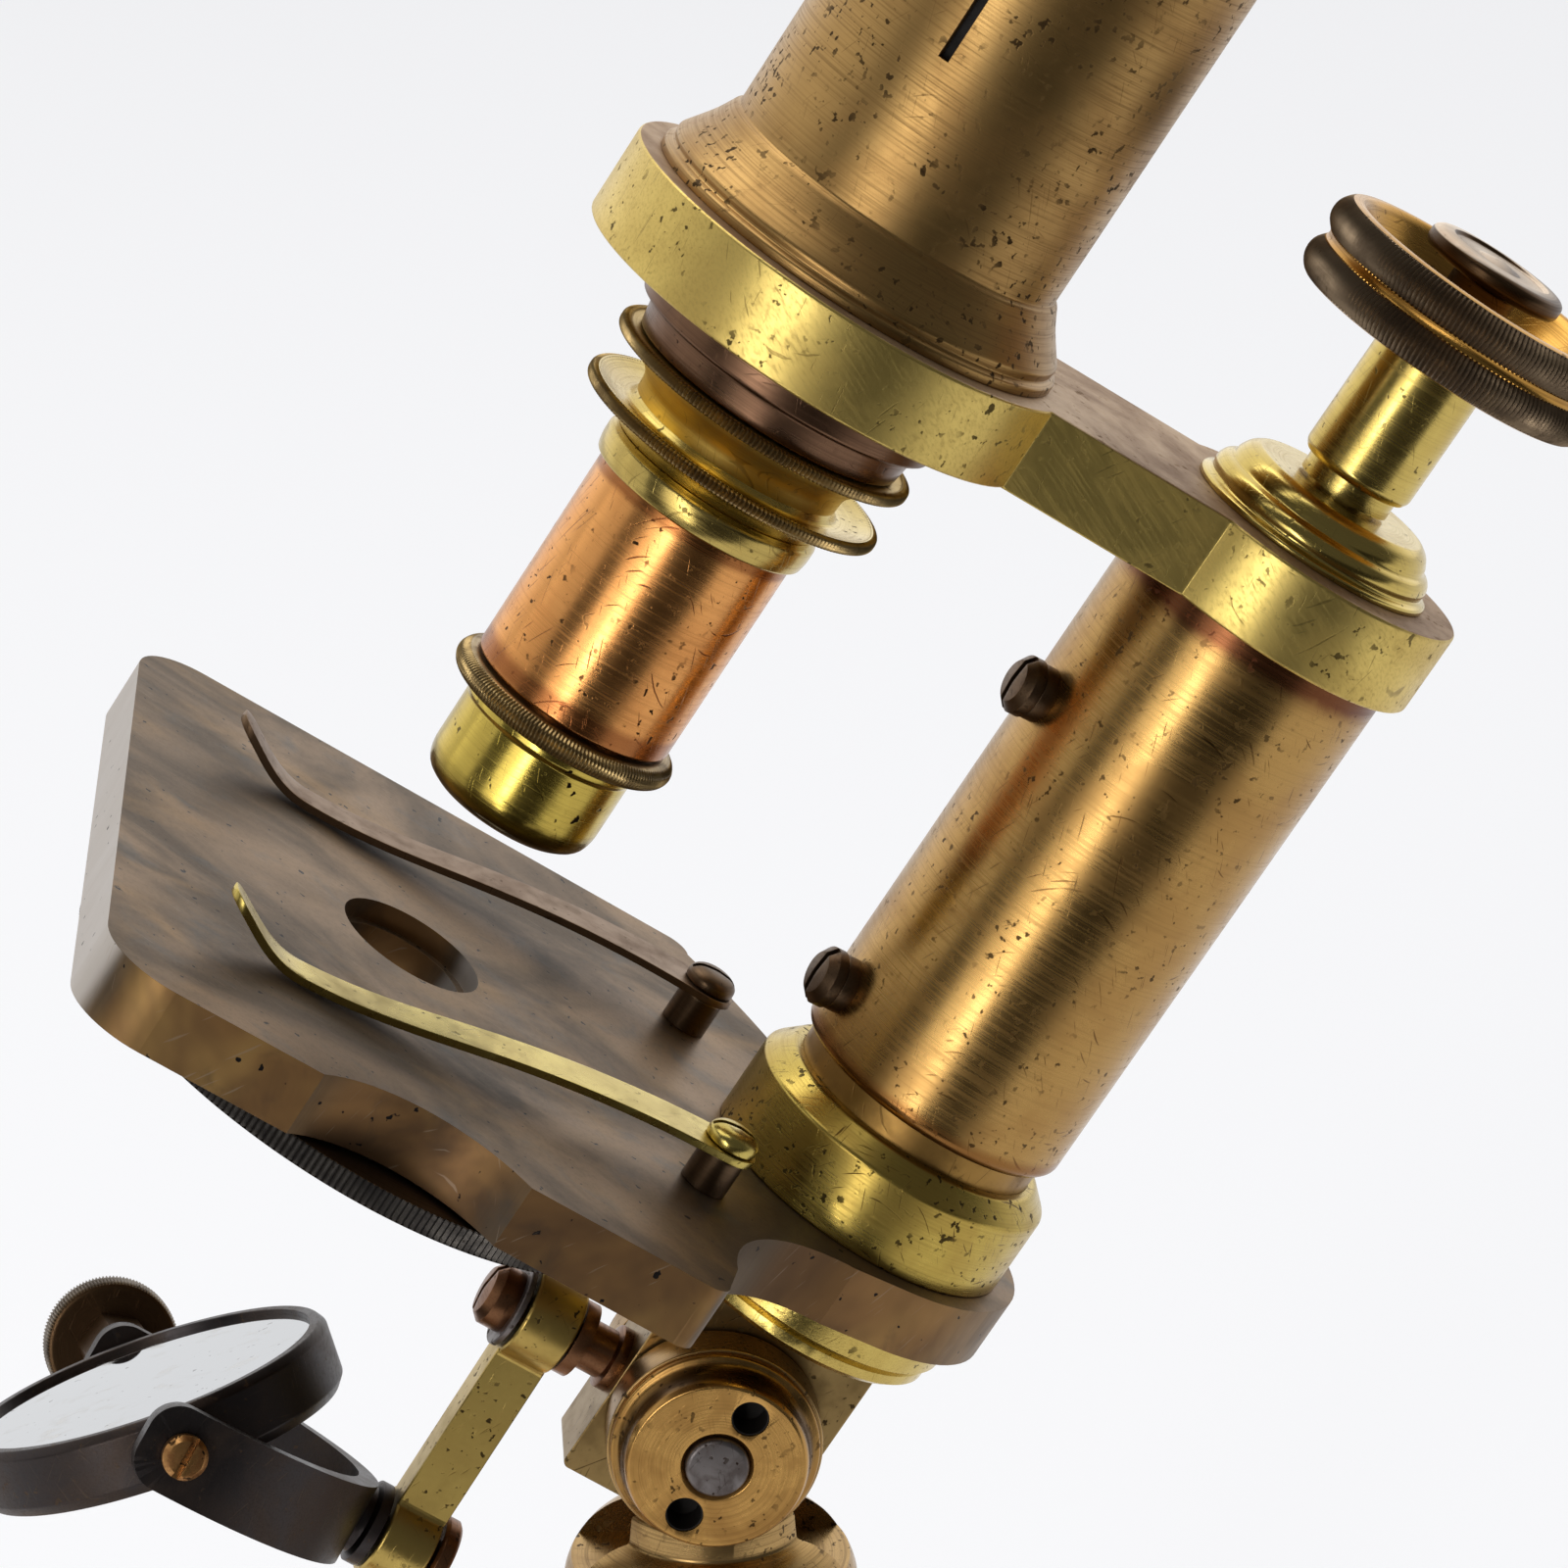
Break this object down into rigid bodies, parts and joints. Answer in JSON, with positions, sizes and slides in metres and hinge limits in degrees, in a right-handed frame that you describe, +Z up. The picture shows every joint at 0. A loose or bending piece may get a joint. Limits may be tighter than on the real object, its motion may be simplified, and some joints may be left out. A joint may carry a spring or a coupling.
{
  "type": "compound microscope",
  "caption": "Antique brass compound microscope with an inclined body on a horseshoe foot, fine-focus column, clipped stage, diaphragm wheel and swinging mirror.",
  "frame": {"origin": "on the pillar axis at the foot's underside", "axes": "+Z up, -X to the stage front, +X to the observer, Y across; the object is drawn with its body tube leaned back 32.5 degrees"},
  "size_m": [0.1904, 0.084, 0.3148],
  "materials": {
    "lacquer": "aged gold-brown lacquered brass",
    "polished": "polished brass",
    "bronze": "dark mottled bronzed brass",
    "arm_satin": "satin brass with a pinkish patina",
    "copper": "copper-toned lacquered brass",
    "blackened": "blackened brass",
    "milled": "dark milled edge",
    "steel": "worn steel",
    "silver_glass": "silvered glass",
    "lens": "clear glass"
  },
  "bodies": {
    "stand": {"foot": "lacquer", "pillar_plinth": "polished", "pillar": "lacquer", "hinge_pin": "steel", "hinge_nut_near": "polished", "hinge_nut_far": "polished"},
    "limb": {"limb_block": "polished", "lower_ring": "polished", "stage": "bronze", "column_socket": "polished", "column_core": "blackened", "clip_post_near": "bronze", "clip_post_far": "bronze", "clip_screw_near": "copper", "clip_screw_far": "bronze", "diaphragm_screw": "bronze", "mirror_stud": "copper", "stud_washer": "steel", "stud_screw": "copper"},
    "clip_near": {"clip_leaf_near": "polished"},
    "clip_far": {"clip_leaf_far": "arm_satin"},
    "wheel": {"diaphragm_wheel": "milled"},
    "crank": {"mirror_crank": "polished"},
    "fork": {"mirror_fork": "blackened", "fork_nut": "copper"},
    "mirror": {"mirror_cell": "blackened", "mirror_plane": "silver_glass", "mirror_concave": "silver_glass", "mirror_knob": "milled", "fork_screw": "copper"},
    "arm": {"column_sleeve": "lacquer", "screw_bush_upper": "blackened", "screw_bush_lower": "blackened", "column_screw_upper": "bronze", "column_screw_lower": "bronze", "arm": "arm_satin", "arm_cap": "lacquer", "body_sleeve": "lacquer"},
    "fine_knob": {"knob_neck": "polished", "fine_knob": "milled", "knob_button": "bronze"},
    "tube": {"body_tube": "polished", "tube_cap": "lacquer", "nosepiece": "copper", "objective_flange": "lacquer", "objective_dish": "polished", "objective_collar": "polished", "objective_barrel": "copper", "objective_snout": "polished", "front_lens": "lens"},
    "correction": {"correction_ring": "milled"},
    "draw": {"draw_tube": "polished", "eyepiece_tube": "lacquer", "eyepiece_cap": "lacquer", "eye_lens": "lens", "field_lens": "lens"}
  },
  "joints": [
    {"name": "limb_tilt", "type": "hinge", "parent": "stand", "child": "limb", "pos_m": [0, 0, 0.098], "axis": [0, 1, 0], "range_deg": [-32.5, 42.5]},
    {"name": "clip_near_swivel", "type": "hinge", "parent": "limb", "child": "clip_near", "pos_m": [-0.00141, -0.0172, 0.12724], "axis": [0.5373, 0, 0.8434], "range_deg": [-12, 12]},
    {"name": "clip_far_swivel", "type": "hinge", "parent": "limb", "child": "clip_far", "pos_m": [-0.00141, 0.0172, 0.12724], "axis": [0.5373, 0, 0.8434], "range_deg": [-12, 12]},
    {"name": "wheel_turn", "type": "hinge", "parent": "limb", "child": "wheel", "pos_m": [-0.02862, -0.0096, 0.13627], "axis": [0.5373, 0, 0.8434], "continuous": true},
    {"name": "crank_swing", "type": "hinge", "parent": "limb", "child": "crank", "pos_m": [-0.01469, 0, 0.10677], "axis": [-0.8434, 0, 0.5373], "range_deg": [-20, 55]},
    {"name": "fork_swivel", "type": "hinge", "parent": "crank", "child": "fork", "pos_m": [-0.02767, -0.00148, 0.08639], "axis": [-0.8434, 0, 0.5373], "range_deg": [-80, 80]},
    {"name": "mirror_tilt", "type": "hinge", "parent": "fork", "child": "mirror", "pos_m": [-0.04875, -0.00148, 0.09983], "axis": [-0.1678, 0.95, -0.2634], "continuous": true},
    {"name": "fine_focus", "type": "slide", "parent": "limb", "child": "arm", "axis": [0.5373, 0, 0.8434], "range_m": [-0.0012, 0.002]},
    {"name": "fine_knob_turn", "type": "hinge", "parent": "arm", "child": "fine_knob", "pos_m": [0.06145, 0, 0.1939], "axis": [0.5373, 0, 0.8434], "range_deg": [-1080, 1800]},
    {"name": "coarse_push", "type": "slide", "parent": "arm", "child": "tube", "axis": [0.5373, 0, 0.8434], "range_m": [-0.009, 0.04]},
    {"name": "correction_turn", "type": "hinge", "parent": "tube", "child": "correction", "pos_m": [-0.01185, 0, 0.16353], "axis": [0.5373, 0, 0.8434], "range_deg": [-60, 60]},
    {"name": "draw_slide", "type": "slide", "parent": "tube", "child": "draw", "axis": [0.5373, 0, 0.8434], "range_m": [-0.02, 0.03]}
  ],
  "couplings": [
    {"joint": "fine_knob_turn", "follows": "fine_focus", "rad_per_m": 15708}
  ]
}
